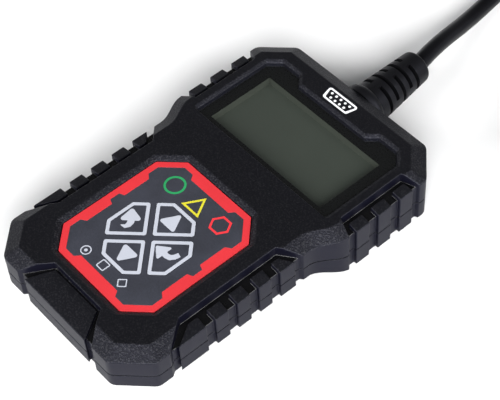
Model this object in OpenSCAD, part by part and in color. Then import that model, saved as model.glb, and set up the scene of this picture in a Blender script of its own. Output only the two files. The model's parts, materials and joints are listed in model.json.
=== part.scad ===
// Hand-held vehicle code reader with a wired diagnostic plug.
// Origin: middle of the housing's footprint, on the surface that it rests on.
// +Y runs towards the cable end, +Z out of the screen, +X to the right of the screen.

/* [Housing] */
// Width across the screen section
screen_w = 86.6; // [86:0.2:88]
// Width across the keypad section
keypad_w = 77.2; // [76.6:0.2:78]
// Length of the housing without its cable
body_l = 134; // [134:0.5:136]
// Height of the top face above the surface
body_h = 21; // [21:0.1:21.6]
// Leg of the cut-off corners
corner_leg = 10.8; // [10:0.2:12]
// Width of the sloped edge round the top face, seen from above
bevel_w = 5.4; // [5:0.1:5.8]
// Drop of the sloped edge from the top face to the side wall
bevel_drop = 3; // [2.8:0.1:3.2]
// Height of the rear face under the keypad section
keypad_rear_z = 5; // [4.6:0.2:5.2]
// Wall thickness left behind the grip grooves
wall = 2; // [1.8:0.1:2.2]

/* [Keypad] */
// Width of the eight-sided keypad
pad_w = 48; // [47:0.2:48.4]
// Length of the eight-sided keypad
pad_l = 54.8; // [54:0.2:55]
// How deep the keypad lies below the top face
pad_depth = 1.1; // [0.9:0.1:1.2]
// Key travel
key_travel = 0.35; // [0.2:0.05:0.4]
// Gap round each key
key_gap = 0.12; // [0.1:0.02:0.2]

/* [Display] */
// Width of the visible display area
view_w = 56.1; // [55:0.1:56.6]
// Height of the visible display area
view_h = 27.2; // [26:0.2:27.6]
// Depth of the display behind the top face
view_depth = 5.8; // [5:0.1:6]

/* [Cable and plug] */
// Cable diameter
cable_d = 6.4; // [6:0.1:6.4]
// Mean diameter of the cable's middle coil turn
coil_d = 72; // [70:1:76]
// Length of the ribbed strain relief sleeve
sleeve_l = 27.5; // [26:0.5:29]
// Width of the diagnostic plug's housing
plug_w = 44; // [43:0.5:46]
// Height of the diagnostic plug's housing
plug_h = 24; // [23:0.5:26]

/* [Hidden] */
$fn = 48;
far = 60;

// colours
BLACK = [0.10, 0.10, 0.11];
SLATE = [0.28, 0.29, 0.33];
RED = [0.88, 0.16, 0.18];
PALE = [0.82, 0.83, 0.85];
LCD_GREY = [0.45, 0.48, 0.44];
BOARD_GREEN = [0.08, 0.34, 0.20];
STEEL = [0.72, 0.73, 0.75];

// housing heights
shoulder_z = body_h - bevel_drop;
foot_h = 0.6;
part_low = 10.9;
part_high = 8.5;
seam = 0.25;
waist_y0 = 7.5;
waist_y1 = 20.5;
ring_ceiling = body_h - 5.8;
ceiling = body_h - 4.1;
groove = 1.2;

// keypad
pad_y = -body_l / 2 + 41.65;
pad_top = body_h - pad_depth;
pad_t = 1.4;
pad_leg = 7.8;
pad_band = 2.35;
key_y = pad_y - 2.6;
key_tip = 1.4;
key_sum = 20.9;
key_end = 15.45;
key_r = 0.8;
key_top = pad_top + 0.03;
flange_t = 0.9;
stem_at = 9;
indicator_y = pad_y + 17.8;
lights = [[-11.6, indicator_y], [0.1, indicator_y - 0.9], [11.9, indicator_y]];

// display
view_y = body_l / 2 - 31.45;
lens_top = body_h - 0.9;
lens_t = 1.5;
mask_t = 0.2;
view_z = body_h - view_depth;
lens_hw = 32.8;
lens_y0 = body_l / 2 - 47.55;
lens_y1 = body_l / 2 - 10.65;

// electronics
board_z = 8;
board_t = 1.6;
board_top = board_z + board_t;
switch_h = 3.5;
button_top = board_top + 4.7;
button_l = 2.8;
lcd_stack_z = board_top + 1.2;
header_y = 58.5;

// fasteners
low_boss = [30.5, -47];
high_boss = [35.5, 50];
low_board_post = [22, -53];
high_board_post = [27.5, 57];
screw_d = 3;
head_d = 5.6;
head_h = 2.4;
board_screw_d = 2.4;

// feet and label
front_foot = [24, -55];
front_foot_d = 11;
rear_foot = [30, 57];
rear_foot_d = 10;
foot_seat = 0.4;
label_w = 49.6;
label_y = [29.2, 50.8];
label_t = 0.3;

// cable
cable_r = cable_d / 2;
cable_z = 10;
relief_y = body_l / 2;
sleeve_turn = 4;
sleeve_r0 = 8.1;
sleeve_r1 = 6.3;
slot_w = 1.6;
slot_pitch = 3.85;
flange_r = 9.3;
plate_w = 19;
plate_y = relief_y - 4.4;
core_z = 12.3;
coil_pos = [27.2, 205];
coil_r = coil_d / 2;
lead_route = [
    [-1.9, 97, 10], [-2.8, 101.5, 9.9], [-3.9, 106, 9.5], [-5, 111, 8.8], [-6.1, 116, 7.8],
    [-7.1, 121, 6.7], [-8.1, 126, 5.6], [-9.1, 131, 4.6], [-10, 136, 3.9], [-10.9, 141, 3.4],
    [-11.7, 146, 3.2], [-12.9, 155, 3.2], [-13.8, 165, 3.2], [-14.5, 175, 3.2],
    [-15, 185, 3.2], [-15.2, 195, 3.2], [-15.2, 205, 3.2]
];
tail_route = [
    [48.1, 184.1, 3.4], [39.7, 178.2, 4.4], [29.8, 175.5, 6], [19.5, 176.4, 7.8],
    [10.2, 180.8, 9.2], [3, 188, 9.8], [-1.4, 197.3, 9.8], [-2.3, 207.6, 9.8],
    [0.4, 217.5, 9.8], [6.3, 225.9, 9.8], [14.7, 231.8, 9.8], [24.6, 234.6, 9.8],
    [36.1, 233.9, 9.8], [46, 230.5, 9.8], [54.7, 224.8, 9.8], [61.8, 217.2, 9.8],
    [66.9, 208, 9.8], [69.6, 198, 10], [70, 187, 11], [70, 176, 12]
];

// plug
plug_pos = [70, 176, 12];
plug_relief_l = 26;
plug_body_l = 34;
shroud_l = 16;
shroud_wall = 1.6;
pin_pitch = 4;
pin_rows = 8;

// ---------- helpers ----------

function unit(v) = v / norm(v);

// arc of n steps that rounds corner p, between neighbours a and b
function corner_arc(a, p, b, r, n) =
    let (u = unit(a - p), v = unit(b - p), half = acos(u * v) / 2,
         c = p + unit(u + v) * r / sin(half),
         s = p + u * r / tan(half), e = p + v * r / tan(half),
         a0 = atan2(s[1] - c[1], s[0] - c[0]), a1 = atan2(e[1] - c[1], e[0] - c[0]),
         turn = (a1 - a0 + 540) % 360 - 180)
    [for (i = [0:n]) c + r * [cos(a0 + turn * i / n), sin(a0 + turn * i / n)]];

// polygon with every corner rounded
function rounded(pts, r, n = 3) =
    let (m = len(pts))
    [for (i = [0:m - 1]) each corner_arc(pts[(i + m - 1) % m], pts[i], pts[(i + 1) % m], r, n)];

// closes a right-hand outline, given from -Y to +Y, with its mirror image
function both_sides(right) =
    concat(right, [for (i = [len(right) - 1:-1:0]) [-right[i][0], right[i][1]]]);

// how much a 45 degree corner's leg shrinks for each millimetre of inset
leg_change = 2 - sqrt(2);

// housing seen from above, inset by d, corners rounded by r
function outline(d, r) =
    let (wl = keypad_w / 2 - d, wu = screen_w / 2 - d, e = body_l / 2 - d,
         c = corner_leg - leg_change * d)
    both_sides(concat(
        corner_arc([0, -e], [wl - c, -e], [wl, -e + c], r, 3),
        corner_arc([wl - c, -e], [wl, -e + c], [wl, 0], r, 3),
        [for (t = [0:0.125:1]) [wl + (wu - wl) * (1 - cos(180 * t)) / 2,
                                waist_y0 + (waist_y1 - waist_y0) * t]],
        corner_arc([wu, 0], [wu, e - c], [wu - c, e], r, 3),
        corner_arc([wu, e - c], [wu - c, e], [0, e], r, 3)));

// keypad octagon grown by o
function octagon(o, r = 0.8) =
    let (w = pad_w / 2 + o, h = pad_l / 2 + o, c = pad_leg + leg_change * o)
    rounded([[w - c, -h], [w, -h + c], [w, h - c], [w - c, h],
             [c - w, h], [-w, h - c], [-w, c - h], [c - w, -h]], r);

// lens grown by o on its sides and top, and by ob at its bottom edge
function lens_outline(o, ob) =
    rounded(both_sides([
        [lens_hw + o, lens_y0 - ob],
        [lens_hw + o, lens_y1 - 4.3 + 0.41 * o],
        [lens_hw - 4.2 + 0.41 * o, lens_y1 + o],
        [20.4 - 0.4 * o, lens_y1 + o],
        [16.9 - 0.4 * o, lens_y1 - 3.7 + o]]), 1.2);

// one key, its inner tip towards the middle of the cluster and its flat end towards +Y
function key_outline(o) =
    let (s = o * sqrt(2), a = (key_sum - key_tip) / 2 + s, b = key_end + o,
         c = key_sum - key_end + o * (sqrt(2) - 1))
    rounded([[0, key_tip - s], [a, (key_sum + key_tip) / 2], [c, b],
             [-c, b], [-a, (key_sum + key_tip) / 2]], key_r + max(o, 0));

// stacks outlines with equal point counts into a closed solid: [[z, points], ...]
module loft(levels) {
    n = len(levels[0][1]);
    k = len(levels);
    polyhedron(
        points = [for (l = levels) each [for (p = l[1]) [p[0], p[1], l[0]]]],
        faces = concat(
            [[for (i = [0:n - 1]) i]],
            [for (j = [0:k - 2]) each [for (i = [0:n - 1])
                [j * n + i, (j + 1) * n + i, (j + 1) * n + (i + 1) % n, j * n + (i + 1) % n]]],
            [[for (i = [n - 1:-1:0]) (k - 1) * n + i]]));
}

// extrudes a [Y, Z] polygon along X
module along_x(w) {
    rotate([90, 0, 90]) linear_extrude(w, center = true) children();
}

// extrudes an [X, Z] polygon along Y
module along_y(l) {
    rotate([90, 0, 0]) linear_extrude(l, center = true) children();
}

module both_x() {
    children();
    mirror([1, 0, 0]) children();
}

module box(lo, hi) {
    translate(lo) cube(hi - lo);
}

module at(p, z0, z1, d) {
    translate([p[0], p[1], z0]) cylinder(d = d, h = z1 - z0);
}

// band between two stepped heights, following the waist
module between(low0, high0, low1, high1) {
    along_x(2 * far) polygon([
        [-2 * far, low0], [waist_y0, low0], [waist_y1, low1], [2 * far, low1],
        [2 * far, high1], [waist_y1, high1], [waist_y0, high0], [-2 * far, high0]]);
}

// ---------- housing ----------

// walls from one outline, cut by a pyramid whose sides are the sloped edge
module housing_blank() {
    k = bevel_w / bevel_drop;
    over = 0.6;
    intersection() {
        translate([0, 0, -1]) linear_extrude(body_h + 1) polygon(outline(0, 3.5));
        loft([[-2, outline(-bevel_w, 5.8)],
              [shoulder_z - bevel_drop, outline(-bevel_w, 5.8)],
              [body_h + over, outline(bevel_w + over * k, 0.74)]]);
    }
}

// grips: [inner x, block x, outer x, first end, last end, blocks]
// each end and block side is [y at the inner x, y at the outer x]
pad_grip = [31.6, 34, keypad_w / 2, [-41.2, -50.6], [-0.9, 4.8], [
    [[-35.6, -47.2], [-35.8, -35.8]],
    [[-32.15, -32.15], [-26.8, -26.8]],
    [[-23.15, -23.15], [-17.8, -17.8]],
    [[-14.15, -14.15], [-8.8, -8.8]],
    [[-5.15, -5.15], [-4, 1.45]]]];
screen_grip = [37.05, 39.3, screen_w / 2, [22.65, 21], [50.15, 53.05], [
    [[24.15, 24.15], [30.05, 30.05]],
    [[34.05, 34.05], [39.95, 39.95]],
    [[43.95, 43.95], [49, 49.95]]]];

// plan region between two sides of a grip, reaching past x from and to
module grip_region(g, a, b, from, to) {
    run = g[2] - g[0];
    linear_extrude(4 * far, center = true) polygon([
        [from, a[0] + (a[1] - a[0]) * (from - g[0]) / run],
        [to, a[0] + (a[1] - a[0]) * (to - g[0]) / run],
        [to, b[0] + (b[1] - b[0]) * (to - g[0]) / run],
        [from, b[0] + (b[1] - b[0]) * (from - g[0]) / run]]);
}

channel_z = body_h - 3.8;

// recess of a whole row of grip blocks, open to the side
module grip_recess(g) {
    intersection() {
        grip_region(g, g[3], g[4], g[0], g[2] + 8);
        along_y(4 * far) polygon([
            [g[0], far], [g[0], channel_z], [g[2] - groove, channel_z - 0.6],
            [g[2] - groove, -far], [g[2] + 20, -far], [g[2] + 20, far]]);
    }
}

// the blocks that stand in that recess, rooted in the wall behind it
module grip_blocks(g) {
    for (block = g[5])
        intersection() {
            grip_region(g, block[0], block[1], g[1] - 1, g[2] + 8);
            along_y(4 * far) polygon([
                [g[1], channel_z - 1], [g[1], body_h - 2.1], [g[2], shoulder_z],
                [g[2] + 10, shoulder_z - 2], [g[2] + 10, -far], [g[2] - groove - 1, -far],
                [g[2] - groove - 1, channel_z - 1]]);
        }
}

// what is taken off the lower end to leave its raised middle panel
module end_cut() {
    y0 = -body_l / 2 + 10.15;
    ye = -body_l / 2;
    intersection() {
        linear_extrude(2 * far, center = true)
            polygon([[-12.1, y0], [12.1, y0], [26, ye - 8], [-26, ye - 8]]);
        along_x(2 * far) polygon([
            [y0, far], [y0, body_h - 2.6], [y0 - 0.85, body_h - 2.6], [y0 - 0.85, body_h - 1.8],
            [y0 - 4, body_h - 2.1], [ye, body_h - 3.4], [ye - 8, body_h - 5.1], [ye - 8, far]]);
    }
    both_x() intersection() {
        linear_extrude(2 * far, center = true)
            polygon([[12.1, y0], [10.4, y0], [20.8, ye - 8], [26, ye - 8]]);
        along_x(2 * far) polygon([
            [y0, far], [y0, body_h - 3], [ye + groove, body_h - 4.6], [ye + groove, -far],
            [ye - 8, -far], [ye - 8, far]]);
    }
}

// outside of the whole housing, with its grips and end panel
module housing_outside() {
    difference() {
        housing_blank();
        both_x() {
            grip_recess(pad_grip);
            grip_recess(screen_grip);
        }
        end_cut();
    }
    intersection() {
        housing_blank();
        both_x() {
            grip_blocks(pad_grip);
            grip_blocks(screen_grip);
        }
    }
}

module relief_hole() {
    translate([0, relief_y + 5, cable_z]) rotate([90, 0, 0]) cylinder(d = 14, h = 12);
}

// keypad recess with its sloped lip
module keypad_recess() {
    translate([0, pad_y, pad_top - pad_t]) linear_extrude(pad_t + 0.5) polygon(octagon(0.3));
    translate([0, pad_y, 0]) loft([[pad_top, octagon(0.3)], [body_h + 0.05, octagon(2.4)]]);
}

// window recess with its sloped lip, and the opening through its ledge
module lens_recess() {
    floor_z = lens_top - lens_t - mask_t;
    translate([0, 0, floor_z]) linear_extrude(lens_t + mask_t + 0.4)
        polygon(lens_outline(0.15, 0.15));
    loft([[lens_top, lens_outline(0.15, 0.15)], [body_h + 0.05, lens_outline(1.6, 0.25)]]);
}

module display_opening() {
    box([-view_w / 2 - 0.85, view_y - view_h / 2 - 0.85, ceiling - 1],
        [view_w / 2 + 0.85, view_y + view_h / 2 + 0.85, body_h]);
}

module key_openings() {
    for (a = [0:90:270]) translate([0, key_y, ceiling - 1]) rotate([0, 0, a])
        linear_extrude(4) polygon(key_outline(0.25));
}

module light_openings() {
    for (p = lights) at(p, ceiling - 1, body_h, 4.4);
}

// the upper case before it is hollowed from above
module top_blank() {
    difference() {
        intersection() {
            housing_outside();
            between(part_low, far, part_high, far);
        }
        translate([0, 0, -far]) linear_extrude(ring_ceiling + far)
            polygon(outline(wall + groove, 2));
        translate([0, 0, -far]) linear_extrude(ceiling + far) polygon(outline(9.2, 2));
    }
}

module top_bosses() {
    difference() {
        union() {
            at(low_boss, part_low, ring_ceiling + 0.4, 6.4);
            at(high_boss, part_high, ring_ceiling + 0.4, 6.4);
        }
        at(low_boss, 0, ring_ceiling - 0.4, screw_d + 0.04);
        at(high_boss, 0, 13, screw_d + 0.04);
    }
}

module top_shell() {
    color(BLACK) {
        difference() {
            top_blank();
            keypad_recess();
            key_openings();
            light_openings();
            lens_recess();
            display_opening();
            relief_hole();
        }
        both_x() top_bosses();
    }
}

module bottom_shell() {
    color(BLACK) difference() {
        union() {
            difference() {
                intersection() {
                    housing_outside();
                    between(keypad_rear_z, part_low - seam, foot_h, part_high - seam);
                }
                intersection() {
                    linear_extrude(far) polygon(outline(wall + groove, 2));
                    between(keypad_rear_z + wall, far, foot_h + wall, far);
                }
            }
            // locating lip that closes the seam from inside
            intersection() {
                linear_extrude(far) difference() {
                    polygon(outline(wall + groove + 0.05, 2));
                    polygon(outline(wall + groove + 1.3, 2));
                }
                between(part_low - 2.5, part_low + 1.5, part_high - 2.5, part_high + 1.5);
            }
            intersection() {
                linear_extrude(far) difference() {
                    polygon(outline(wall + groove - 0.6, 2));
                    polygon(outline(wall + groove + 0.1, 2));
                }
                between(part_low - 2.5, part_low - seam, part_high - 2.5, part_high - seam);
            }
            both_x() {
                at(low_boss, keypad_rear_z + 1, part_low, 8.4);
                at(high_boss, foot_h + 1, part_high, 8.4);
                at(low_board_post, keypad_rear_z + 1, board_z, 5);
                at(high_board_post, foot_h + 1, board_z, 5);
            }
        }
        both_x() {
            at(low_boss, 0, keypad_rear_z + 3, head_d + 0.6);
            at(low_boss, 0, far, screw_d + 0.4);
            at(high_boss, 0, foot_h + 3.9, head_d + 0.6);
            at(high_boss, 0, far, screw_d + 0.4);
            at(low_board_post, keypad_rear_z + 0.8, far, board_screw_d + 0.04);
            at(high_board_post, foot_h + 1.6, far, board_screw_d + 0.04);
            at(front_foot, 0, keypad_rear_z + foot_seat, front_foot_d + 0.1);
            at(rear_foot, 0, foot_h + foot_seat, rear_foot_d + 0.1);
        }
        box([-label_w / 2 - 0.2, label_y[0] - 0.2, 0],
            [label_w / 2 + 0.2, label_y[1] + 0.2, foot_h + label_t]);
        // moulded lines across the rear of the keypad section
        for (y = [-30:5:0]) box([-16, y, 0], [16, y + 2, keypad_rear_z + 0.6]);
        relief_hole();
        // room behind the wall for the strain relief's plate
        box([-plate_w / 2 - 0.3, plate_y - 0.3, foot_h + wall],
            [plate_w / 2 + 0.3, relief_y - wall - groove, far]);
    }
}

module case_screw(z, l) {
    translate([0, 0, z]) {
        difference() {
            cylinder(d = head_d, h = head_h);
            for (a = [0, 90]) rotate([0, 0, a]) translate([-1.6, -0.35, -1]) cube([3.2, 0.7, 2.2]);
        }
        cylinder(d = screw_d, h = head_h + l);
    }
}

module case_screws() {
    color(STEEL) both_x() {
        translate([low_boss[0], low_boss[1], 0]) case_screw(keypad_rear_z + 3 - head_h, 6.4);
        translate([high_boss[0], high_boss[1], 0]) case_screw(foot_h + 3.9 - head_h, 8);
    }
}

module board_screws() {
    color(STEEL) both_x() {
        at(low_board_post, board_top, board_top + 1.6, 4.6);
        at(low_board_post, keypad_rear_z + 1, board_top + 0.1, board_screw_d);
        at(high_board_post, board_top, board_top + 1.6, 4.6);
        at(high_board_post, foot_h + 3, board_top + 0.1, board_screw_d);
    }
}

module front_feet() {
    color(BLACK) both_x() {
        at(front_foot, 0, 1, front_foot_d - 1);
        at(front_foot, 1, keypad_rear_z + foot_seat, front_foot_d);
    }
}

module rear_feet() {
    color(BLACK) both_x() at(rear_foot, 0, foot_h + foot_seat, rear_foot_d);
}

module rear_label() {
    w = label_w / 2;
    color(PALE) translate([0, 0, foot_h]) linear_extrude(label_t) polygon(rounded(
        [[-w, label_y[0]], [w, label_y[0]], [w, label_y[1]], [-w, label_y[1]]], 1.5));
}

// ---------- display ----------

module window_ring(grow_out, z0, z1) {
    difference() {
        box([-view_w / 2 - grow_out, view_y - view_h / 2 - grow_out, z0],
            [view_w / 2 + grow_out, view_y + view_h / 2 + grow_out, z1]);
        box([-view_w / 2, view_y - view_h / 2, z0 - 1],
            [view_w / 2, view_y + view_h / 2, z1 + 1]);
    }
}

module display_lens() {
    color([0.05, 0.06, 0.07, 0.4]) translate([0, 0, lens_top - lens_t])
        linear_extrude(lens_t) polygon(lens_outline(0, 0));
}

module lens_mask() {
    color([0.03, 0.03, 0.04]) difference() {
        translate([0, 0, lens_top - lens_t - mask_t])
            linear_extrude(mask_t) polygon(lens_outline(0, 0));
        box([-view_w / 2, view_y - view_h / 2, 0], [view_w / 2, view_y + view_h / 2, body_h]);
    }
}

module lcd_frame() {
    color(LCD_GREY) {
        window_ring(0.75, view_z, lens_top - lens_t - mask_t);
        window_ring(3.2, view_z, ceiling - 0.05);
    }
}

module lcd_layer(grow, z0, z1) {
    box([-view_w / 2 - grow, view_y - view_h / 2 - grow, z0],
        [view_w / 2 + grow, view_y + view_h / 2 + grow, z1]);
}

module lcd_glass() {
    color(LCD_GREY) lcd_layer(2.4, view_z - 1.6, view_z);
}

module lcd_backlight() {
    color("white") lcd_layer(2.9, lcd_stack_z, view_z - 1.6);
}

module lcd_supports() {
    color(BLACK) for (s = [-1, 1])
        box([-20, view_y + s * 14 - 1.2, board_top], [20, view_y + s * 14 + 1.2, lcd_stack_z]);
}

// ---------- keypad ----------

// inner edge of the coloured frame: two thick stretches on each side, one on each end
function frame_inner() =
    let (a = pad_w / 2 - pad_band, a2 = pad_w / 2 - 4.3, b = pad_l / 2 - pad_band,
         b2 = pad_l / 2 - 4.25, c = pad_leg - leg_change * pad_band,
         right = [[a - c, -b], [a, -b + c], [a, -14.4], [a2, -13.1], [a2, -2.7], [a, -1.9],
                  [a, 1.9], [a2, 2.7], [a2, 13.1], [a, 14.4], [a, b - c], [a - c, b],
                  [11, b], [9.6, b2]],
         left = [for (i = [len(right) - 1:-1:0]) [-right[i][0], right[i][1]]])
    rounded(concat([[9.6, -b2], [11, -b]], right, left, [[-11, -b], [-9.6, -b2]]), 0.3, 2);

module keypad_frame() {
    color(RED) translate([0, pad_y, pad_top - pad_t]) linear_extrude(pad_t) difference() {
        polygon(octagon(0));
        polygon(frame_inner());
    }
}

module ring_2d(r, w) {
    difference() {
        circle(r = r);
        circle(r = r - w);
    }
}

// outline of an n-sided sign with its flat side down, as a band of width w
module sign_2d(n, r, w, turn) {
    difference() {
        polygon([for (i = [0:n - 1]) r * [cos(turn + 360 * i / n), sin(turn + 360 * i / n)]]);
        polygon([for (i = [0:n - 1])
            (r - w / cos(180 / n)) * [cos(turn + 360 * i / n), sin(turn + 360 * i / n)]]);
    }
}

module green_2d() {
    translate(lights[0]) ring_2d(3.9, 0.8);
}

module yellow_2d() {
    translate(lights[1]) sign_2d(3, 4.95, 0.75, 90);
}

module red_2d() {
    translate(lights[2]) sign_2d(6, 4, 0.75, 0);
}

inlay_t = 0.3;

module keypad_panel() {
    color(SLATE) difference() {
        translate([0, pad_y, pad_top - pad_t]) linear_extrude(pad_t) polygon(frame_inner());
        for (a = [0:90:270]) translate([0, key_y, 0]) rotate([0, 0, a])
            linear_extrude(body_h) polygon(key_outline(key_gap));
        translate([0, 0, pad_top - inlay_t]) linear_extrude(1) {
            green_2d();
            yellow_2d();
            red_2d();
        }
    }
}

module inlay() {
    translate([0, 0, pad_top - inlay_t]) linear_extrude(inlay_t + 0.03) children();
}

module indicator_green() {
    color([0.2, 0.62, 0.38]) inlay() green_2d();
}

module indicator_yellow() {
    color([0.85, 0.8, 0.2]) inlay() yellow_2d();
}

module indicator_red() {
    color(RED) inlay() red_2d();
}

// one key: cap, retaining flange below the shell, and the stem over its switch
module key(turn) {
    color(SLATE) translate([0, key_y, 0]) rotate([0, 0, turn]) {
        translate([0, 0, ceiling - 0.1]) linear_extrude(key_top - ceiling + 0.1)
            polygon(key_outline(0));
        translate([0, 0, ceiling - 0.1 - flange_t]) linear_extrude(flange_t)
            polygon(key_outline(0.6));
        translate([0, stem_at, button_top]) cylinder(d = 5, h = ceiling - 0.1 - button_top);
    }
}

module key_up() {
    key(0);
}

module key_back() {
    key(90);
}

module key_down() {
    key(180);
}

module key_enter() {
    key(270);
}

module switch_button(turn) {
    color([0.15, 0.15, 0.15]) translate([0, key_y, button_top - button_l]) rotate([0, 0, turn])
        translate([0, stem_at, 0]) cylinder(d = 3.4, h = button_l);
}

module switch_button_up() {
    switch_button(0);
}

module switch_button_back() {
    switch_button(90);
}

module switch_button_down() {
    switch_button(180);
}

module switch_button_enter() {
    switch_button(270);
}

module tact_switches() {
    color(STEEL) for (a = [0:90:270]) translate([0, key_y, board_top]) rotate([0, 0, a])
        translate([0, stem_at, 0]) difference() {
            translate([-3, -3, 0]) cube([6, 6, switch_h]);
            translate([0, 0, 1.2]) cylinder(d = 3.7, h = switch_h);
        }
}

// ---------- electronics ----------

module light_pipes() {
    color([0.9, 0.92, 0.95, 0.6]) for (p = lights) at(p, board_top + 1.7, pad_top - pad_t, 4);
}

module status_leds() {
    color("white") for (p = lights) {
        translate([p[0] - 1.6, p[1] - 1.4, board_top]) cube([3.2, 2.8, 1]);
        at(p, board_top, board_top + 1.5, 2.2);
    }
}

module main_board() {
    color(BOARD_GREEN) difference() {
        translate([0, 0, board_z]) linear_extrude(board_t) polygon(both_sides([
            [20, -61], [26, -55], [26, 10], [31, 16], [31, 56], [27, 61]]));
        both_x() {
            at(low_board_post, 0, far, board_screw_d + 0.6);
            at(high_board_post, 0, far, board_screw_d + 0.6);
        }
    }
}

module chip(x, y, w, l, h, legs) {
    translate([x, y, board_top]) {
        translate([-w / 2, -l / 2, 0.1]) cube([w, l, h]);
        for (i = [0:legs - 1]) translate([-w / 2 - 0.8, -l / 2 + (i + 0.5) * l / legs - 0.15, 0])
            cube([w + 1.6, 0.3, 0.3]);
    }
}

module main_chips() {
    color([0.13, 0.13, 0.14]) {
        chip(-9, 6, 10, 10, 1.4, 12);
        chip(4, 5, 5, 6, 1.5, 4);
        chip(-21, 4, 4, 5, 1.5, 4);
    }
}

module power_parts() {
    color([0.25, 0.25, 0.28]) {
        at([-15.5, -57], board_top, board_top + 5, 4.8);
        box([-11, -60, board_top], [-4, -53, board_top + 3]);
        box([4, -59, board_top], [10, -55, board_top + 2]);
        box([12, -59, board_top], [14, -54, board_top + 1.2]);
    }
}

module buzzer() {
    color([0.08, 0.08, 0.08]) translate([17, 4, board_top]) difference() {
        cylinder(d = 12, h = 5);
        translate([0, 0, 3]) cylinder(d = 2.5, h = 5);
    }
}

module cable_header() {
    color([0.9, 0.88, 0.82])
        box([-7, header_y - 4.5, board_top], [7, header_y, board_top + 5.5]);
}

module cable_core() {
    color([0.3, 0.3, 0.3]) translate([0, plate_y, core_z]) rotate([90, 0, 0])
        cylinder(d = 5, h = plate_y - header_y);
}

// ---------- cable ----------

// sector of a ring round the sleeve's axis, between two angles counted from +X towards +Z
module slot_sector(y, a0, a1) {
    inner = cable_r + 1.2;
    translate([0, y + slot_w / 2, 0]) rotate([90, 0, 0]) difference() {
        linear_extrude(slot_w) polygon(concat([[0, 0]],
            [for (i = [0:8]) 20 * [cos(a0 + (a1 - a0) * i / 8), sin(a0 + (a1 - a0) * i / 8)]]));
        translate([0, 0, -1]) cylinder(r = inner, h = slot_w + 2);
    }
}

// plate behind the wall, neck and flange, then a ribbed sleeve that leans a little to the left
module strain_relief() {
    web = 13;
    color(BLACK) {
        box([-plate_w / 2, plate_y, 3.2], [plate_w / 2, relief_y - wall - groove - 0.2, 15]);
        translate([0, relief_y, cable_z]) rotate([-90, 0, 0]) rotate_extrude() polygon(concat(
            [[0, plate_y - relief_y], [6.9, plate_y - relief_y], [6.9, 0.1], [flange_r - 0.4, 0.1]],
            [for (a = [0:15:90]) [flange_r - 2.6 + 2.6 * cos(a), 1.9 + 2.6 * sin(a)]],
            [[0, 4.5]]));
        translate([0, relief_y + 3, cable_z]) rotate([0, 0, sleeve_turn]) difference() {
            rotate([-90, 0, 0]) rotate_extrude() polygon(concat(
                [[0, 0], [sleeve_r0, 0]],
                [for (a = [0:15:90]) [sleeve_r1 - 1.5 + 1.5 * cos(a), sleeve_l - 1.5 + 1.5 * sin(a)]],
                [[0, sleeve_l]]));
            for (i = [0:4]) {
                y = 5 + i * slot_pitch;
                turn = i % 2 == 0 ? 90 : 0;
                slot_sector(y, turn + web, turn + 180 - web);
                slot_sector(y, turn + 180 + web, turn + 360 - web);
            }
        }
    }
}

// ring of the cable's section at route point i, square to the route
function route_dir(route, i) =
    unit(route[min(i + 1, len(route) - 1)] - route[max(i - 1, 0)]);
function section(route, i, sides) =
    let (d = route_dir(route, i), s = unit(cross([0, 0, 1], d)), u = cross(d, s))
    [for (k = [0:sides - 1])
        route[i] + cable_r * (s * cos(360 * k / sides) + u * sin(360 * k / sides))];

module cable_tube(route, sides = 10) {
    n = len(route);
    polyhedron(
        points = [for (i = [0:n - 1]) each section(route, i, sides)],
        faces = concat(
            [[for (k = [0:sides - 1]) k]],
            [for (i = [0:n - 2]) each [for (k = [0:sides - 1])
                [i * sides + k, (i + 1) * sides + k, (i + 1) * sides + (k + 1) % sides,
                 i * sides + (k + 1) % sides]]],
            [[for (k = [sides - 1:-1:0]) (n - 1) * sides + k]]));
}

module cable_lead() {
    color(BLACK) cable_tube(lead_route);
}

module cable_tail() {
    color(BLACK) cable_tube(tail_route);
}

module cable_coil() {
    inner = coil_r - cable_d - cable_r;
    outer = coil_r + cable_d + cable_r;
    color(BLACK) translate([coil_pos[0], coil_pos[1], 0]) rotate_extrude() polygon(concat(
        [for (a = [270:-30:90]) [inner + cable_r + cable_r * cos(a), cable_r + cable_r * sin(a)]],
        [for (a = [90:-30:-90]) [outer - cable_r + cable_r * cos(a), cable_r + cable_r * sin(a)]]));
}

// strap round the coil's three turns
module cable_tie() {
    inner = coil_r - cable_d - cable_r;
    outer = coil_r + cable_d + cable_r;
    color(BLACK) translate([coil_pos[0], coil_pos[1], 0]) rotate([0, 0, -33]) {
        difference() {
            box([inner - 1.2, -2, 0.2], [outer + 1.2, 2, cable_d + 1]);
            box([inner + 0.4, -3, -1], [outer - 0.4, 3, cable_d + 0.02]);
        }
        box([outer + 1, -2.8, 1], [outer + 4.6, 2.8, 5.4]);
    }
}

// ---------- diagnostic plug ----------

module at_plug() {
    translate(plug_pos) children();
}

module plug_relief() {
    color(BLACK) at_plug() rotate([90, 0, 0]) difference() {
        rotate_extrude() polygon([[0, 0], [cable_r + 1, 0], [cable_r + 1.5, 0.8],
            [6.4, plug_relief_l - 2], [6.4, plug_relief_l + 6], [0, plug_relief_l + 6]]);
        for (i = [0:3]) translate([0, 0, 5 + i * 4.5]) difference() {
            cylinder(r = 20, h = 1.5);
            translate([0, 0, -1]) cylinder(r = cable_r + 0.9, h = 4);
            rotate([0, 0, i % 2 == 0 ? 0 : 90]) translate([-1.6, -20, -1]) cube([3.2, 40, 4]);
        }
    }
}

function plug_plan(d) =
    rounded([[-plug_w / 2 + d, -plug_relief_l - plug_body_l + d],
             [plug_w / 2 - d, -plug_relief_l - plug_body_l + d],
             [plug_w / 2 - d, -plug_relief_l - 12], [plug_w / 2 - 10, -plug_relief_l - d],
             [-plug_w / 2 + 10, -plug_relief_l - d], [-plug_w / 2 + d, -plug_relief_l - 12]], 2.5);

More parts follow.
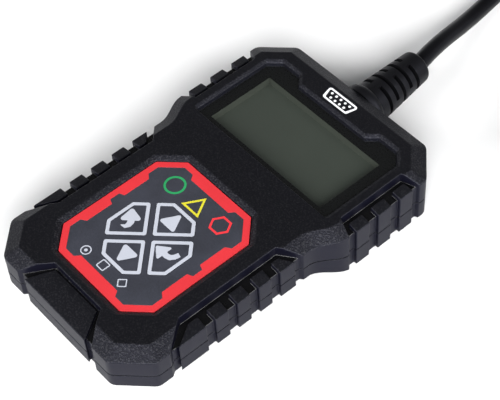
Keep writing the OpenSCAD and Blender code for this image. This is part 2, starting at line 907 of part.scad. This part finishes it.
// closed moulding of the plug's housing with its edges broken
module plug_blank() {
    h = plug_h / 2;
    loft([[-h, plug_plan(1.6)], [-h + 1.6, plug_plan(0)], [h - 1.6, plug_plan(0)],
          [h, plug_plan(1.6)]]);
}

// trapezium of the shroud, wide side up, as an [X, Z] outline grown by d
function shroud_outline(d) =
    rounded([[-16.6 - d, -8.6 - d], [16.6 + d, -8.6 - d], [19.4 + d, 8.6 + d],
             [-19.4 - d, 8.6 + d]], 2.2 + d);

module plug_shell(keep_up) {
    color(BLACK) at_plug() difference() {
        plug_blank();
        translate([-far, -2 * far, keep_up ? -far : 0]) cube([2 * far, 3 * far, far]);
        // hollow for the board
        box([-plug_w / 2 + 3, -plug_relief_l - plug_body_l + 14, -plug_h / 2 + 2.5],
            [plug_w / 2 - 3, -plug_relief_l - 13, plug_h / 2 - 2.5]);
        // seat of the shroud, open to the front
        translate([0, -plug_relief_l - plug_body_l + 5, 0]) along_y(20)
            polygon(shroud_outline(0.05));
        rotate([90, 0, 0]) cylinder(r = 6.45, h = plug_relief_l + 6.05);
        rotate([90, 0, 0]) cylinder(r = 2.6, h = plug_relief_l + 16);
        both_x() {
            at([16.5, -plug_relief_l - 9], -far, far, 2.44);
            at([16.5, -plug_relief_l - 9], -far, -plug_h / 2 + 2.2, 5);
        }
    }
}

module plug_upper_shell() {
    plug_shell(true);
}

module plug_lower_shell() {
    plug_shell(false);
}

// D-shaped shroud, back wall and centre tongue
module plug_shroud() {
    front = -plug_relief_l - plug_body_l - shroud_l;
    back = -plug_relief_l - plug_body_l + 14;
    color([0.13, 0.13, 0.14]) at_plug() {
        difference() {
            translate([0, (front + back) / 2, 0]) along_y(back - front)
                polygon(shroud_outline(0));
            translate([0, front + (shroud_l + 1) / 2 - 1, 0]) along_y(shroud_l + 1)
                polygon(shroud_outline(-shroud_wall));
            box([-17, back - 8, -6], [17, back + 1, 6]);
        }
        box([-11, front + 6, -1.1], [11, front + shroud_l, 1.1]);
    }
}

module plug_pins() {
    front = -plug_relief_l - plug_body_l - shroud_l;
    color([0.8, 0.72, 0.45]) at_plug() for (row = [-1, 1], i = [0:pin_rows - 1])
        translate([(i - (pin_rows - 1) / 2) * pin_pitch, 0, row * 4])
            box([-0.8, front + 6.5, -0.4], [0.8, front + shroud_l, 0.4]);
}

module plug_board() {
    back = -plug_relief_l - plug_body_l + 14;
    color(BOARD_GREEN) at_plug() box([-15, back - 8, -0.8], [15, back + 6, 0.8]);
}

module plug_screws() {
    color(STEEL) at_plug() both_x() {
        at([16.5, -plug_relief_l - 9], -plug_h / 2 + 0.6, -plug_h / 2 + 2.2, 4.6);
        at([16.5, -plug_relief_l - 9], -plug_h / 2 + 0.6, 6, 2.4);
    }
}

top_shell();
bottom_shell();
display_lens();
lens_mask();
lcd_frame();
lcd_glass();
lcd_backlight();
lcd_supports();
keypad_frame();
keypad_panel();
key_up();
key_down();
key_back();
key_enter();
switch_button_up();
switch_button_down();
switch_button_back();
switch_button_enter();
tact_switches();
indicator_green();
indicator_yellow();
indicator_red();
light_pipes();
status_leds();
main_board();
main_chips();
power_parts();
buzzer();
cable_header();
cable_core();
case_screws();
board_screws();
front_feet();
rear_feet();
rear_label();
strain_relief();
cable_lead();
cable_coil();
cable_tail();
cable_tie();
plug_relief();
plug_upper_shell();
plug_lower_shell();
plug_shroud();
plug_pins();
plug_board();
plug_screws();
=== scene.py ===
import json
import math

import bmesh
import bpy
from mathutils import Matrix, Vector

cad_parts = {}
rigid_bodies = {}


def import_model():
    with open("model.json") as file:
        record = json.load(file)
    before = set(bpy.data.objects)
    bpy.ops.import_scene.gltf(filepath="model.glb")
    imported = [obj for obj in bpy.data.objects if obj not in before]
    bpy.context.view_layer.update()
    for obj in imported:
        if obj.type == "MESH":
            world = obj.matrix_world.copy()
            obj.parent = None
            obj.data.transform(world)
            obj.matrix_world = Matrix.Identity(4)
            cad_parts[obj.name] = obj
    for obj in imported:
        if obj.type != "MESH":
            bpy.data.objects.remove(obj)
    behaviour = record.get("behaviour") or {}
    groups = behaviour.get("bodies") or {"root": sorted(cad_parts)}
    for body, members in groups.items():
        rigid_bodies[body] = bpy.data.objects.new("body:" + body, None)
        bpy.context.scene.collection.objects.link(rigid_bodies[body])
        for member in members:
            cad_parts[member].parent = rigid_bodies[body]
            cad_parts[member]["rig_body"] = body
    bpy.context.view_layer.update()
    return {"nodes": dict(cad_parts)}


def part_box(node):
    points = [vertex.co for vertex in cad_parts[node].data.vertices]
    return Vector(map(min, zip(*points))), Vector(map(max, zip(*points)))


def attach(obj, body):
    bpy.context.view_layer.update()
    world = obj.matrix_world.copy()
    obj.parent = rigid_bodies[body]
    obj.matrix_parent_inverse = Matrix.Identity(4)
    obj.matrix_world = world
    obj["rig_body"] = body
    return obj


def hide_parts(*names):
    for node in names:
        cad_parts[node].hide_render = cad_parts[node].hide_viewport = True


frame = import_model()
nodes = frame["nodes"]
KEYS = ("up", "down", "back", "enter")
MM = 0.001


# ---------- camera ----------

def add_camera():
    """Long lens from the lower right, turned a little about its own axis."""
    azimuth = math.radians(52.3)
    elevation = math.radians(50.84)
    roll = math.radians(-4.19)
    target = Vector((11.18, 6.04, 21.0)) * MM
    distance = 0.4954
    back = Vector((math.sin(azimuth) * math.cos(elevation),
                   -math.cos(azimuth) * math.cos(elevation), math.sin(elevation)))
    side = Vector((0, 0, 1)).cross(back).normalized()
    top = back.cross(side)
    right = side * math.cos(roll) + top * math.sin(roll)
    up = top * math.cos(roll) - side * math.sin(roll)
    data = bpy.data.cameras.new("camera")
    data.sensor_fit = "HORIZONTAL"
    data.sensor_width = 36
    data.lens = 108
    data.clip_start = 0.02
    data.clip_end = 20
    camera = bpy.data.objects.new("camera", data)
    bpy.context.scene.collection.objects.link(camera)
    turn = Matrix((right, up, back)).transposed().to_4x4()
    camera.matrix_world = Matrix.Translation(target + back * distance) @ turn
    bpy.context.scene.camera = camera


add_camera()


# ---------- node materials ----------

# The Mix node's colour sockets share their names with its other ones, so they go by place.
MIX_A, MIX_B, MIX_RESULT = 6, 7, 2


class Material:
    """A Principled material whose colour, roughness and relief come from nodes."""

    def __init__(self, name, rough=0.5, **sockets):
        self.data = bpy.data.materials.new(name)
        self.data.use_nodes = True
        self.tree = self.data.node_tree
        self.shader = self.tree.nodes["Principled BSDF"]
        coords = self.tree.nodes.new("ShaderNodeTexCoord")
        self.place = coords.outputs["Object"]
        self.normal = coords.outputs["Normal"]
        self.shader.inputs["Roughness"].default_value = rough
        for socket, value in sockets.items():
            self.shader.inputs[socket.replace("_", " ")].default_value = value

    def node(self, kind, inputs, **settings):
        """Adds a node; each input gets a link from a socket, or else a plain value."""
        made = self.tree.nodes.new("ShaderNode" + kind)
        for key, value in settings.items():
            setattr(made, key, value)
        for key, value in inputs.items():
            if isinstance(value, bpy.types.NodeSocket):
                self.tree.links.new(value, made.inputs[key])
            else:
                made.inputs[key].default_value = value
        return made

    def link(self, output, socket):
        self.tree.links.new(output, self.shader.inputs[socket])

    def noise(self, size, detail=2.0, rough=0.5):
        """Noise from 0 to 1 whose grains are about that many metres across."""
        made = self.node("TexNoise", {"Vector": self.place, "Scale": 1 / size,
                                      "Detail": detail, "Roughness": rough})
        return made.outputs["Fac"]

    def ramp(self, fac, low, high, a=0.0, b=1.0):
        """Maps a value from a..b to low..high."""
        made = self.node("MapRange", {"Value": fac, "From Min": a, "From Max": b,
                                      "To Min": low, "To Max": high})
        return made.outputs["Result"]

    def blend(self, fac, a, b):
        """Mixes two colours, each a tuple or a socket."""
        made = self.node("Mix", {"Factor": fac, MIX_A: a, MIX_B: b}, data_type="RGBA")
        return made.outputs[MIX_RESULT]

    def calc(self, operation, a, b):
        """One sum, difference or product, each side a number or a socket."""
        return self.node("Math", {0: a, 1: b}, operation=operation).outputs[0]

    def bump(self, height, distance):
        """Relief from a value from 0 to 1, that many metres deep."""
        made = self.node("Bump", {"Height": height, "Distance": distance, "Strength": 1.0})
        return made.outputs["Normal"]


def rgba(color, times=1):
    """A colour, made lighter or darker, with full alpha."""
    return (*(c * times for c in color), 1.0)


def moulded(name, color, rough, grain, depth, mottle=0.25, **sockets):
    """Moulded plastic, rubber or film: fine spark-eroded grain and slight mottling."""
    m = Material(name, **sockets)
    patch, rough_spread = 0.012, 0.07
    fine = m.noise(grain, detail=3.0, rough=0.6)
    broad = m.noise(patch)
    tone = m.ramp(m.calc("ADD", fine, broad), 0, 1, 0.6, 1.4)
    m.link(m.blend(tone, rgba(color, 1 - mottle), rgba(color, 1 + mottle)), "Base Color")
    m.link(m.ramp(fine, rough - rough_spread, rough + rough_spread, 0.3, 0.7), "Roughness")
    if depth:
        m.link(m.bump(fine, depth), "Normal")
    return m.data


def case_plastic(name, color, sheen):
    """Black case plastic: grain with painted glints, strongest on the slopes and gone on the
    walls, whose colour gets a painted bluish sheen instead.
    """
    m = Material(name, Specular_Tint=rgba(sheen))
    grain_size, patch, relief = 0.00055, 0.02, 0.00018
    painted_sheen_blue, painted_glint_color = 0.0035, (0.026, 0.026, 0.028)
    up = m.node("SeparateXYZ", {0: m.normal}).outputs["Z"]
    wall = m.ramp(up, 1.0, 0.0, 0.05, 0.45)
    # Tops get about a third as much grain relief and painted glints as the slopes.
    slope = m.ramp(up, 1.0, 0.35, 0.88, 1.0)
    amount = m.calc("MULTIPLY", slope, m.calc("SUBTRACT", 1.0, wall))
    grain = m.noise(grain_size, rough=0.6)
    # Light spots of the grain, used as painted glints in the colour.
    dots = m.ramp(grain, 0.0, 1.0, 0.5, 0.68)
    plain = m.blend(m.noise(patch), rgba(color, 0.8), rgba(color, 1.2))
    # Painted sheen: the walls' colour is tinted blue.
    base = m.blend(wall, plain, rgba((color[0], color[1], color[2] + painted_sheen_blue)))
    # Painted glints: light spots in the colour, on the slopes and tops only.
    painted_glints = m.calc("MULTIPLY", dots, amount)
    m.link(m.blend(painted_glints, base, rgba(painted_glint_color)), "Base Color")
    m.link(m.ramp(wall, 0.5, 0.44), "Roughness")
    m.link(m.ramp(wall, 0.25, 0.18), "Specular IOR Level")
    m.link(m.bump(grain, m.calc("MULTIPLY", amount, relief)), "Normal")
    return m.data


def metal(name, color, rough=0.3):
    """Bare metal with a fine, slightly uneven finish."""
    m = Material(name, Metallic=1.0)
    fine = m.noise(0.0003, detail=3.0)
    m.link(m.blend(fine, rgba(color, 0.8), rgba(color)), "Base Color")
    m.link(m.ramp(fine, rough - 0.08, rough + 0.12), "Roughness")
    return m.data


case_black = case_plastic("case_black", (0.003, 0.003, 0.0036), (0.74, 0.76, 1.0))
gap_black = moulded("gap_black", (0.002, 0.002, 0.0024), 0.22, 0.002, 0.000004)
rubber_black = moulded("rubber_black", (0.003, 0.003, 0.0034), 0.5, 0.0003, 0.00001,
                       Specular_IOR_Level=0.22, Specular_Tint=rgba((0.8, 0.82, 1.0)))
jacket_black = moulded("jacket_black", (0.0025, 0.0025, 0.003), 0.36, 0.0005, 0.000008,
                       Specular_IOR_Level=0.2, Specular_Tint=rgba((0.8, 0.82, 1.0)))
foot_black = moulded("foot_black", (0.012, 0.012, 0.013), 0.7, 0.0004, 0.00002)
slate = moulded("slate", (0.028, 0.030, 0.041), 0.55, 0.0005, 0.00002, 0.4)
red_film = moulded("red_film", (0.58, 0.026, 0.034), 0.5, 0.0003, 0.00001, 0.06)
print_pale = moulded("print_pale", (0.43, 0.45, 0.51), 0.5, 0.0003, 0.000004, 0.05)
print_white = moulded("print_white", (0.86, 0.87, 0.90), 0.45, 0.0003, 0.000002, 0.04)
lcd_surround = moulded("lcd_surround", (0.040, 0.045, 0.037), 0.5, 0.0006, 0.000004, 0.1)
lcd_panel = moulded("lcd_panel", (0.046, 0.053, 0.045), 0.35, 0.0009, 0.000002, 0.05)
mask_black = moulded("mask_black", (0.002, 0.0022, 0.0024), 0.3, 0.0008, 0.0, 0.1)
green_ink = moulded("green_ink", (0.02, 0.27, 0.09), 0.4, 0.0003, 0.000003, 0.08)
yellow_ink = moulded("yellow_ink", (0.60, 0.55, 0.03), 0.4, 0.0003, 0.000003, 0.08)
red_ink = moulded("red_ink", (0.72, 0.035, 0.045), 0.4, 0.0003, 0.000003, 0.08)
board_green = moulded("board_green", (0.008, 0.09, 0.04), 0.3, 0.001, 0.000003, 0.3)
white_plastic = moulded("white_plastic", (0.72, 0.72, 0.68), 0.4, 0.0005, 0.000003, 0.04)
label_silver = moulded("label_silver", (0.42, 0.43, 0.45), 0.4, 0.0004, 0.000003, 0.08)
steel = metal("steel", (0.60, 0.60, 0.62))
contact_gold = metal("contact_gold", (0.80, 0.62, 0.30), 0.25)


def window_tint():
    """Hard clear window: mostly see-through, with a small share of mirror reflection."""
    m = Material("window_tint", rough=0.04, Metallic=1.0)
    spots = m.noise(0.02)
    m.link(m.blend(spots, rgba((0.95, 0.95, 0.96)), rgba((1.0, 1.0, 1.0))), "Base Color")
    clear = m.node("BsdfTransparent", {"Color": rgba((0.90, 0.92, 0.90))})
    mirror_share = m.ramp(spots, 0.045, 0.06)
    mix = m.node("MixShader", {0: mirror_share, 1: clear.outputs[0]})
    m.tree.links.new(m.shader.outputs[0], mix.inputs[2])
    m.tree.links.new(mix.outputs[0], m.tree.nodes["Material Output"].inputs["Surface"])
    return m.data


window = window_tint()


# ---------- mesh tools ----------

def new_object(name, mesh_maker, material, body, smooth=False):
    """Builds a mesh object with a bmesh function, gives it a material and a body to ride."""
    bm = bmesh.new()
    mesh_maker(bm)
    mesh = bpy.data.meshes.new(name)
    bm.to_mesh(mesh)
    bm.free()
    piece = bpy.data.objects.new(name, mesh)
    bpy.context.scene.collection.objects.link(piece)
    mesh.materials.append(material)
    for face in mesh.polygons:
        face.use_smooth = smooth
    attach(piece, body)
    return piece


# Points nearer than this, in metres, are one point, and faces that meet at less than FLAT
# are one face. Edges over SHARP are rounded. A face looks up if its normal's z is over UPWARD.
SAME_POINT = 2e-6
FLAT = math.radians(0.6)
SHARP = math.radians(24)
UPWARD = 0.6


def soften(piece, width, clamp):
    """Rounds the sharp edges of a piece and evens out its shading."""
    bevel = piece.modifiers.new("soft_edges", "BEVEL")
    bevel.width = width
    bevel.segments = 2
    bevel.limit_method = "ANGLE"
    bevel.angle_limit = SHARP
    bevel.use_clamp_overlap = clamp
    bevel.miter_outer = "MITER_ARC"
    normals = piece.modifiers.new("even_shading", "WEIGHTED_NORMAL")
    normals.mode = "FACE_AREA"
    normals.weight = 80
    normals.keep_sharp = True


def remade(node, material, edge, clamp=False):
    """A clean copy of a CAD node: whole faces instead of triangles, and rounded edges."""
    def copy(bm):
        bm.from_mesh(nodes[node].data)
        bmesh.ops.remove_doubles(bm, verts=bm.verts, dist=SAME_POINT)
        bmesh.ops.dissolve_limit(bm, angle_limit=FLAT, verts=bm.verts, edges=bm.edges,
                                 use_dissolve_boundaries=False)
    piece = new_object(node + "_finished", copy, material, nodes[node]["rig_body"],
                       smooth=True)
    if edge:
        soften(piece, edge, clamp)
    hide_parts(node)
    return piece


def keep_top(piece):
    """Keeps only the upward face of a plate, so that it works as a thin sheet."""
    bm = bmesh.new()
    bm.from_mesh(piece.data)
    hidden = [face for face in bm.faces if face.normal.z <= UPWARD]
    bmesh.ops.delete(bm, geom=hidden, context="FACES")
    bm.to_mesh(piece.data)
    bm.free()


def gloss_low_faces(piece, ceiling):
    """Gives upward faces lower than that height, in mm, a smooth glossy black."""
    piece.data.materials.append(gap_black)
    for face in piece.data.polygons:
        if face.normal.z > UPWARD and face.center.z < ceiling * MM:
            face.material_index = 1


def paint(node, material):
    """Gives a CAD node its finish."""
    mesh = nodes[node].data
    mesh.materials.clear()
    mesh.materials.append(material)


# ---------- cable ----------

# The same middle line as the CAD cable's, in mm, from the case to the plug.
LEAD = [(-1.9, 97, 10), (-2.8, 101.5, 9.9), (-3.9, 106, 9.5), (-5, 111, 8.8), (-6.1, 116, 7.8),
        (-7.1, 121, 6.7), (-8.1, 126, 5.6), (-9.1, 131, 4.6), (-10, 136, 3.9), (-10.9, 141, 3.4),
        (-11.7, 146, 3.2), (-12.9, 155, 3.2), (-13.8, 165, 3.2), (-14.5, 175, 3.2),
        (-15, 185, 3.2), (-15.2, 195, 3.2)]
TAIL = [(48.1, 184.1, 3.4), (39.7, 178.2, 4.4), (29.8, 175.5, 6), (19.5, 176.4, 7.8),
        (10.2, 180.8, 9.2), (3, 188, 9.8), (-1.4, 197.3, 9.8), (-2.3, 207.6, 9.8),
        (0.4, 217.5, 9.8), (6.3, 225.9, 9.8), (14.7, 231.8, 9.8), (24.6, 234.6, 9.8),
        (36.1, 233.9, 9.8), (46, 230.5, 9.8), (54.7, 224.8, 9.8), (61.8, 217.2, 9.8),
        (66.9, 208, 9.8), (69.6, 198, 10), (70, 187, 11), (70, 176, 12)]
COIL_CENTRE = (27.2, 205)
COIL_OUTER = 42.4
COIL_ANGLE = 930
COIL_STEP = 15
CABLE_D = 6.4
DRAWN_SHARE = 0.994


def coil_points():
    """Two flat turns and a bit more than a half, clockwise from the left.

    In the last quarter of each whole turn the cable moves in by its own diameter.
    """
    points = []
    for along in range(0, COIL_ANGLE + 1, COIL_STEP):
        turn, part = divmod(along, 360)
        shift = min(max((part - 270) / 90, 0), 1)
        shift = shift * shift * (3 - 2 * shift)
        radius = COIL_OUTER - CABLE_D * (turn + (shift if turn < 2 else 0))
        angle = math.radians(180 - along)
        points.append((COIL_CENTRE[0] + radius * math.cos(angle),
                       COIL_CENTRE[1] + radius * math.sin(angle), CABLE_D / 2))
    return points


def smooth_line(points, steps=4):
    """Catmull-Rom curve through the points."""
    ends = [2 * points[0] - points[1], *points, 2 * points[-1] - points[-2]]
    line = []
    for i in range(len(points) - 1):
        a, b, c, d = ends[i:i + 4]
        for k in range(steps):
            t = k / steps
            line.append(((2 * b) + (c - a) * t + (2 * a - 5 * b + 4 * c - d) * t * t
                         + (3 * b - a - 3 * c + d) * t ** 3) / 2)
    return line + [points[-1]]


def add_cable():
    """The whole cable as one tube, a hair thinner so that it stays just off the table."""
    route = [Vector(p) * MM for p in LEAD + coil_points() + TAIL]
    line = smooth_line(route)
    data = bpy.data.curves.new("cable", "CURVE")
    data.dimensions = "3D"
    data.bevel_depth = CABLE_D / 2 * MM * DRAWN_SHARE
    data.bevel_resolution = 6
    data.use_fill_caps = True
    spline = data.splines.new("POLY")
    spline.points.add(len(line) - 1)
    for point, place in zip(spline.points, line):
        point.co = (*place, 1)
    spline.use_smooth = True
    cable = bpy.data.objects.new("cable", data)
    bpy.context.scene.collection.objects.link(cable)
    data.materials.append(jacket_black)
    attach(cable, "housing")
    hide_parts("cable_lead", "cable_coil", "cable_tail")
    return cable, line


cable, cable_line = add_cable()
relief = remade("strain_relief", rubber_black, 0.0003, clamp=True)
tie = remade("cable_tie", jacket_black, 0.0003)
plug_pieces = [remade("plug_relief", rubber_black, 0.0003, clamp=True),
               remade("plug_upper_shell", case_black, 0.0003),
               remade("plug_lower_shell", case_black, 0.0003),
               remade("plug_shroud", gap_black, 0.0002)]


# ---------- housing ----------

GLOSS_BELOW = 17.4
top = remade("top_shell", case_black, 0.00035)
gloss_low_faces(top, GLOSS_BELOW)
remade("bottom_shell", case_black, 0.00025)
remade("front_feet", foot_black, 0.0005)
remade("rear_feet", foot_black, 0.0003)
remade("keypad_frame", red_film, 0.00008)
remade("keypad_panel", slate, 0.00006)
for key in KEYS:
    remade("key_" + key, slate, 0.00008)
lens = remade("display_lens", window, edge=0)
keep_top(lens)
FINISHES = {
    "lens_mask": mask_black, "lcd_frame": lcd_surround, "lcd_glass": lcd_panel,
    "lcd_backlight": white_plastic, "lcd_supports": gap_black, "tact_switches": steel,
    "indicator_green": green_ink, "indicator_yellow": yellow_ink, "indicator_red": red_ink,
    "light_pipes": white_plastic, "status_leds": white_plastic, "main_board": board_green,
    "main_chips": gap_black, "power_parts": gap_black, "buzzer": gap_black,
    "cable_header": white_plastic, "cable_core": jacket_black, "case_screws": steel,
    "board_screws": steel, "rear_label": label_silver, "plug_pins": contact_gold,
    "plug_board": board_green, "plug_screws": steel}
for key in KEYS:
    FINISHES["switch_button_" + key] = gap_black
for name, material in FINISHES.items():
    paint(name, material)


# ---------- printed graphics ----------

# All in mm. Key outlines are drawn about (0, KEY_Y), symbols and marks about (0, PAD_Y).
PAD_Y = -25.35
KEY_Y = PAD_Y - 2.6
INK = 0.04
INK_STEP = 0.008
KEY_TIP, KEY_SHOULDER, KEY_END = 1.4, 20.9, 15.45


def plate(bm, outline, z, hole=None, thick=INK):
    """A thin flat plate, from an outline in mm, with an optional hole of as many points."""
    def ring(points, height):
        return [bm.verts.new(Vector((x, y, height)) * MM) for x, y in points]
    low, high = ring(outline, z), ring(outline, z + thick)
    n = len(outline)
    if hole is None:
        bm.faces.new(high)
        bm.faces.new(low[::-1])
    else:
        low_in, high_in = ring(hole, z), ring(hole, z + thick)
    for i in range(n):
        j = (i + 1) % n
        bm.faces.new((low[i], low[j], high[j], high[i]))
        if hole is not None:
            bm.faces.new((high[i], high[j], high_in[j], high_in[i]))
            bm.faces.new((low[j], low[i], low_in[i], low_in[j]))
            bm.faces.new((high_in[i], high_in[j], low_in[j], low_in[i]))


def rounded(corners, radius, steps=4):
    """The corners of a polygon, each one turned into an arc."""
    out = []
    n = len(corners)
    for i, p in enumerate(corners):
        p = Vector(p)
        u = (Vector(corners[i - 1]) - p).normalized()
        v = (Vector(corners[(i + 1) % n]) - p).normalized()
        half = math.acos(max(-1, min(1, u.dot(v)))) / 2
        centre = p + (u + v).normalized() * radius / math.sin(half)
        start = p + u * radius / math.tan(half) - centre
        end = p + v * radius / math.tan(half) - centre
        a0, a1 = math.atan2(start.y, start.x), math.atan2(end.y, end.x)
        turn = (a1 - a0 + math.pi * 3) % (math.pi * 2) - math.pi
        for k in range(steps + 1):
            a = a0 + turn * k / steps
            out.append((centre.x + radius * math.cos(a), centre.y + radius * math.sin(a)))
    return out


def key_corners(inset):
    """The upper key's five corners, tip first, moved inwards.

    KEY_TIP and KEY_END are distances from the middle of the four keys, and KEY_SHOULDER
    is x + y along the slanting edge between them.
    """
    slant = inset * math.sqrt(2)
    tip = KEY_TIP + slant
    shoulder = KEY_SHOULDER - slant
    end = KEY_END - inset
    a, b = (shoulder - tip) / 2, (shoulder + tip) / 2
    return [(0, tip), (a, b), (shoulder - end, end), (end - shoulder, end), (-a, b)]


def turned(points, quarters):
    """The points after that many quarter turns to the left."""
    for _ in range(quarters):
        points = [(-y, x) for x, y in points]
    return points


def placed(points, dx, dy):
    """The points moved over by dx and dy."""
    return [(x + dx, y + dy) for x, y in points]


def key_print(name, quarters, symbols):
    """Pale outline and symbol on one key; where symbols overlap, the later one is lower."""
    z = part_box("key_" + name)[1].z / MM
    edge = placed(turned(rounded(key_corners(0.05), 0.8), quarters), 0, KEY_Y)
    inner = placed(turned(rounded(key_corners(1.28), 0.35), quarters), 0, KEY_Y)

    def make(bm):
        plate(bm, edge, z, inner)
        for i, symbol in enumerate(symbols):
            plate(bm, placed(symbol, 0, PAD_Y), z, thick=INK - INK_STEP * i)
    new_object("print_" + name, make, print_pale, "key_" + name)


def bent_band(line, widths):
    """A closed outline round a middle line, with a half width at each point."""
    left, right = [], []
    pts = [Vector(p) for p in line]
    for i, p in enumerate(pts):
        d = (pts[min(i + 1, len(pts) - 1)] - pts[max(i - 1, 0)]).normalized()
        n = Vector((-d.y, d.x)) * widths[i]
        left.append(tuple(p + n))
        right.append(tuple(p - n))
    return right + left[::-1]


UP_ARROW = rounded([(-3.9, 4.5), (3.9, 4.5), (0, 11.6)], 0.7)
DOWN_ARROW = rounded([(3.8, -9.6), (-3.8, -9.6), (0, -16.6)], 0.8)
BACK_HEAD = rounded([(-12.9, -5.4), (-6.9, 0.3), (-13.7, 1.4)], 0.8)
BACK_TAIL = bent_band([(-10.4, -1.6), (-9.3, -2.9), (-8.9, -4.2), (-9.3, -5.4), (-10.7, -6.0)],
                      [1.25, 1.2, 1.05, 0.75, 0.15])
ENTER_HEAD = rounded([(3.9, -2.95), (8.6, -6.4), (8.5, 0.7)], 0.5)
ENTER_TAIL = bent_band([(8.2, -2.95), (9.6, -3.0), (10.9, -2.6), (11.8, -1.4), (12.2, 0.3)],
                       [1.05, 1.05, 1.05, 1.0, 0.9])
key_print("up", 0, [UP_ARROW])
key_print("back", 1, [BACK_HEAD, BACK_TAIL])
key_print("down", 2, [DOWN_ARROW])
key_print("enter", 3, [ENTER_HEAD, ENTER_TAIL])


def circle(cx, cy, r, n=20):
    """The corners of a round outline."""
    return [(cx + r * math.cos(2 * math.pi * i / n), cy + r * math.sin(2 * math.pi * i / n))
            for i in range(n)]


def connector_sign(bm):
    """Generic sign of a vehicle connector: a wide trapezium with two rows of dots."""
    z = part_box("top_shell")[1].z / MM
    cx, cy = -1.0, 57.7
    wide, narrow, tall, line = 7.2, 5.9, 2.6, 0.7
    side = line * 1.25
    dot, dot_gap = 0.5, 2.2

    def trapezium(top_half, bottom_half, half, radius):
        return placed(rounded([(-bottom_half, -half), (bottom_half, -half),
                               (top_half, half), (-top_half, half)], radius), cx, cy)
    plate(bm, trapezium(wide, narrow, tall, 1.0), z,
          trapezium(wide - side, narrow - side, tall - line, 0.5))
    for row, count in ((-0.95, 4), (0.85, 5)):
        for i in range(count):
            x = cx + (i - (count - 1) / 2) * dot_gap
            plate(bm, circle(x, cy + row, dot), z)


new_object("connector_sign", connector_sign, print_white, "housing")


def small_marks(bm):
    """Three plain outlines near the keypad's lower end: a dotted ring, a square, a diamond."""
    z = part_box("keypad_panel")[1].z / MM

    def square(half, radius):
        return rounded([(-half, -half), (half, -half), (half, half), (-half, half)], radius)

    def diamond(half, radius):
        return rounded([(-half, 0), (0, -half), (half, 0), (0, half)], radius)

    ring_place = (-10.2, PAD_Y - 20.7)
    square_place = (-1.5, PAD_Y - 20.3)
    diamond_place = (8.3, PAD_Y - 20.2)
    plate(bm, placed(circle(0, 0, 1.9, 24), *ring_place), z,
          placed(circle(0, 0, 1.5, 24), *ring_place))
    plate(bm, placed(circle(0, 0, 0.6), *ring_place), z)
    plate(bm, placed(square(1.8, 0.5), *square_place), z,
          placed(square(1.4, 0.2), *square_place))
    plate(bm, placed(diamond(2.2, 0.3), *diamond_place), z,
          placed(diamond(1.65, 0.1), *diamond_place))


new_object("small_marks", small_marks, print_pale, "housing")


# ---------- studio ----------

def add_floor():
    """A plain white table, far larger than the picture."""
    bpy.ops.mesh.primitive_plane_add(size=8)
    floor = bpy.context.object
    floor.name = "floor"
    m = Material("floor_white", rough=0.7, Specular_IOR_Level=0.2)
    m.link(m.blend(m.noise(0.3), rgba((0.90, 0.90, 0.90)), rgba((0.92, 0.92, 0.92))),
           "Base Color")
    floor.data.materials.append(m.data)


def add_light(name, place, size, power):
    """A round soft light that looks at the origin."""
    data = bpy.data.lights.new(name, "AREA")
    data.shape = "DISK"
    data.size = size
    data.energy = power
    light = bpy.data.objects.new(name, data)
    bpy.context.scene.collection.objects.link(light)
    light.location = place
    light.rotation_euler = Vector(place).to_track_quat("Z", "Y").to_euler()


def add_world():
    """White near the horizon, darker overhead, as in a light tent with an open top."""
    world = bpy.data.worlds.new("studio")
    bpy.context.scene.world = world
    world.use_nodes = True
    tree = world.node_tree
    way = tree.nodes.new("ShaderNodeTexCoord").outputs["Generated"]
    split = tree.nodes.new("ShaderNodeSeparateXYZ")
    tree.links.new(way, split.inputs[0])
    grade = tree.nodes.new("ShaderNodeMapRange")
    for socket, value in (("From Min", 0.05), ("From Max", 0.42),
                          ("To Min", 1.1), ("To Max", 0.10)):
        grade.inputs[socket].default_value = value
    grade.interpolation_type = "SMOOTHSTEP"
    tree.links.new(split.outputs["Z"], grade.inputs["Value"])
    tree.links.new(grade.outputs["Result"], tree.nodes["Background"].inputs["Strength"])
    tree.nodes["Background"].inputs["Color"].default_value = (0.96, 0.97, 1.0, 1)


add_floor()
add_world()
add_light("key", (1.0, -0.8, 0.8), 1.0, 36)
add_light("front", (-0.3, -1.25, 0.75), 0.9, 16)
add_light("side", (1.25, 0.4, 0.75), 0.9, 15)
bpy.context.scene.view_settings.view_transform = "Standard"
